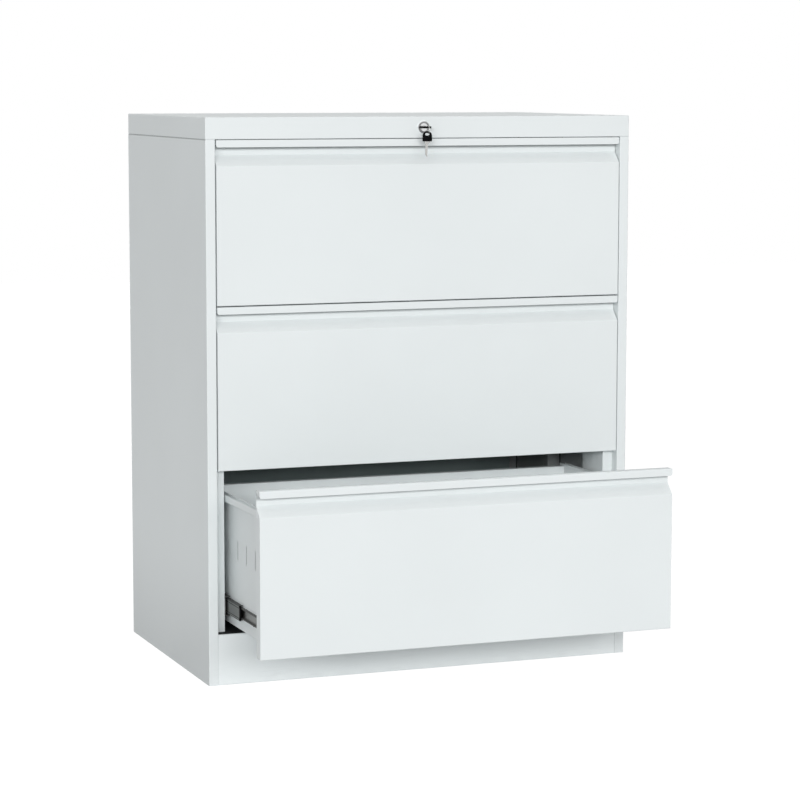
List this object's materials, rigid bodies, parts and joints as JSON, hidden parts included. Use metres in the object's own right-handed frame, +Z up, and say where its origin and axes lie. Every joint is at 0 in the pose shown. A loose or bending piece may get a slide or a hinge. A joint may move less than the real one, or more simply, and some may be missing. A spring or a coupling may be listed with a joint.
{
  "type": "lateral filing cabinet",
  "caption": "Sheet-steel lateral filing cabinet with full-width drawers on ball slides, recessed grips, a plinth and a central key lock in the top cap.",
  "frame": {"origin": "on the floor, under the middle of the case's footprint with every drawer shut", "axes": "+X to the right seen from the front, +Y to the back, +Z up; drawers open along -Y"},
  "size_m": [0.8, 0.731, 0.99],
  "materials": {
    "painted_steel": "pale cool-white powder coat, fine satin texture",
    "zinc_steel": "zinc-plated cold-formed steel",
    "cage_steel": "dark pressed steel with bright balls",
    "lock_chrome": "polished chrome plate",
    "key_nickel": "nickel-plated",
    "black_plastic": "moulded black plastic, fine grain",
    "guide_plastic": "natural white moulded plastic"
  },
  "bodies": {
    "cabinet": {"top_cap": "painted_steel", "left_side_panel": "painted_steel", "right_side_panel": "painted_steel", "back_panel": "painted_steel", "base_tray": "painted_steel", "front_plinth": "painted_steel", "top_front_rail": "painted_steel", "front_uprights": "painted_steel", "rear_uprights": "painted_steel", "slide_outer_members": "zinc_steel", "slide_screws": "zinc_steel", "lock_housing": "lock_chrome", "lock_nut": "zinc_steel", "lock_guides": "guide_plastic"},
    "bottom_drawer": {"bottom_drawer_front": "painted_steel", "bottom_drawer_liner": "painted_steel", "bottom_drawer_left_wall": "painted_steel", "bottom_drawer_right_wall": "painted_steel", "bottom_drawer_back": "painted_steel", "bottom_drawer_bottom": "painted_steel", "bottom_file_rails": "painted_steel", "bottom_slide_inners": "zinc_steel", "bottom_striker": "zinc_steel"},
    "bottom_slide_middles": {"bottom_slide_middles": "zinc_steel"},
    "bottom_outer_ball_cages": {"bottom_outer_ball_cages": "cage_steel"},
    "bottom_inner_ball_cages": {"bottom_inner_ball_cages": "cage_steel"},
    "middle_drawer": {"middle_drawer_front": "painted_steel", "middle_drawer_liner": "painted_steel", "middle_drawer_left_wall": "painted_steel", "middle_drawer_right_wall": "painted_steel", "middle_drawer_back": "painted_steel", "middle_drawer_bottom": "painted_steel", "middle_file_rails": "painted_steel", "middle_slide_inners": "zinc_steel", "middle_striker": "zinc_steel"},
    "middle_slide_middles": {"middle_slide_middles": "zinc_steel"},
    "middle_outer_ball_cages": {"middle_outer_ball_cages": "cage_steel"},
    "middle_inner_ball_cages": {"middle_inner_ball_cages": "cage_steel"},
    "top_drawer": {"top_drawer_front": "painted_steel", "top_drawer_liner": "painted_steel", "top_drawer_left_wall": "painted_steel", "top_drawer_right_wall": "painted_steel", "top_drawer_back": "painted_steel", "top_drawer_bottom": "painted_steel", "top_file_rails": "painted_steel", "top_slide_inners": "zinc_steel", "top_striker": "zinc_steel"},
    "top_slide_middles": {"top_slide_middles": "zinc_steel"},
    "top_outer_ball_cages": {"top_outer_ball_cages": "cage_steel"},
    "top_inner_ball_cages": {"top_inner_ball_cages": "cage_steel"},
    "lock_core": {"lock_plug": "lock_chrome", "lock_cam": "zinc_steel", "cam_screw": "zinc_steel"},
    "key": {"key_blade": "key_nickel", "key_head": "black_plastic"},
    "key_ring": {"key_ring": "key_nickel"},
    "lock_link": {"lock_link": "zinc_steel"},
    "lock_rod": {"lock_rod": "zinc_steel", "lock_hooks": "zinc_steel"}
  },
  "joints": [
    {"name": "bottom_drawer_slide", "type": "slide", "parent": "cabinet", "child": "bottom_drawer", "axis": [0, -1, 0], "range_m": [-0.231, 0.149]},
    {"name": "bottom_middles_slide", "type": "slide", "parent": "cabinet", "child": "bottom_slide_middles", "axis": [0, -1, 0], "range_m": [-0.1155, 0.0745]},
    {"name": "bottom_outer_cages_slide", "type": "slide", "parent": "cabinet", "child": "bottom_outer_ball_cages", "axis": [0, -1, 0], "range_m": [-0.05775, 0.03725]},
    {"name": "bottom_inner_cages_slide", "type": "slide", "parent": "cabinet", "child": "bottom_inner_ball_cages", "axis": [0, -1, 0], "range_m": [-0.17325, 0.11175]},
    {"name": "middle_drawer_slide", "type": "slide", "parent": "cabinet", "child": "middle_drawer", "axis": [0, -1, 0], "range_m": [0, 0.38]},
    {"name": "middle_middles_slide", "type": "slide", "parent": "cabinet", "child": "middle_slide_middles", "axis": [0, -1, 0], "range_m": [0, 0.19]},
    {"name": "middle_outer_cages_slide", "type": "slide", "parent": "cabinet", "child": "middle_outer_ball_cages", "axis": [0, -1, 0], "range_m": [0, 0.095]},
    {"name": "middle_inner_cages_slide", "type": "slide", "parent": "cabinet", "child": "middle_inner_ball_cages", "axis": [0, -1, 0], "range_m": [0, 0.285]},
    {"name": "top_drawer_slide", "type": "slide", "parent": "cabinet", "child": "top_drawer", "axis": [0, -1, 0], "range_m": [0, 0.38]},
    {"name": "top_middles_slide", "type": "slide", "parent": "cabinet", "child": "top_slide_middles", "axis": [0, -1, 0], "range_m": [0, 0.19]},
    {"name": "top_outer_cages_slide", "type": "slide", "parent": "cabinet", "child": "top_outer_ball_cages", "axis": [0, -1, 0], "range_m": [0, 0.095]},
    {"name": "top_inner_cages_slide", "type": "slide", "parent": "cabinet", "child": "top_inner_ball_cages", "axis": [0, -1, 0], "range_m": [0, 0.285]},
    {"name": "rod_slide", "type": "slide", "parent": "cabinet", "child": "lock_rod", "axis": [0, 0, 1], "range_m": [0, 0.01]},
    {"name": "link_slide", "type": "slide", "parent": "cabinet", "child": "lock_link", "axis": [1, 0, 0], "range_m": [0, 0.0175]},
    {"name": "lock_turn", "type": "hinge", "parent": "cabinet", "child": "lock_core", "pos_m": [0, -0.25, 0.971], "axis": [0, 1, 0], "range_deg": [0, 91]},
    {"name": "key_pull", "type": "slide", "parent": "lock_core", "child": "key", "axis": [0, -1, 0], "range_m": [0, 0.03]},
    {"name": "ring_turn", "type": "hinge", "parent": "key", "child": "key_ring", "pos_m": [0, -0.27235, 0.9673], "axis": [-1, 0, 0], "range_deg": [-15, 60]}
  ],
  "couplings": [
    {"joint": "bottom_middles_slide", "follows": "bottom_drawer_slide", "ratio": 0.5},
    {"joint": "bottom_outer_cages_slide", "follows": "bottom_drawer_slide", "ratio": 0.25},
    {"joint": "bottom_inner_cages_slide", "follows": "bottom_drawer_slide", "ratio": 0.75},
    {"joint": "middle_middles_slide", "follows": "middle_drawer_slide", "ratio": 0.5},
    {"joint": "middle_outer_cages_slide", "follows": "middle_drawer_slide", "ratio": 0.25},
    {"joint": "middle_inner_cages_slide", "follows": "middle_drawer_slide", "ratio": 0.75},
    {"joint": "top_middles_slide", "follows": "top_drawer_slide", "ratio": 0.5},
    {"joint": "top_outer_cages_slide", "follows": "top_drawer_slide", "ratio": 0.25},
    {"joint": "top_inner_cages_slide", "follows": "top_drawer_slide", "ratio": 0.75},
    {"joint": "link_slide", "follows": "rod_slide", "ratio": 1.697},
    {"joint": "lock_turn", "follows": "rod_slide", "rad_per_m": 157.08}
  ]
}
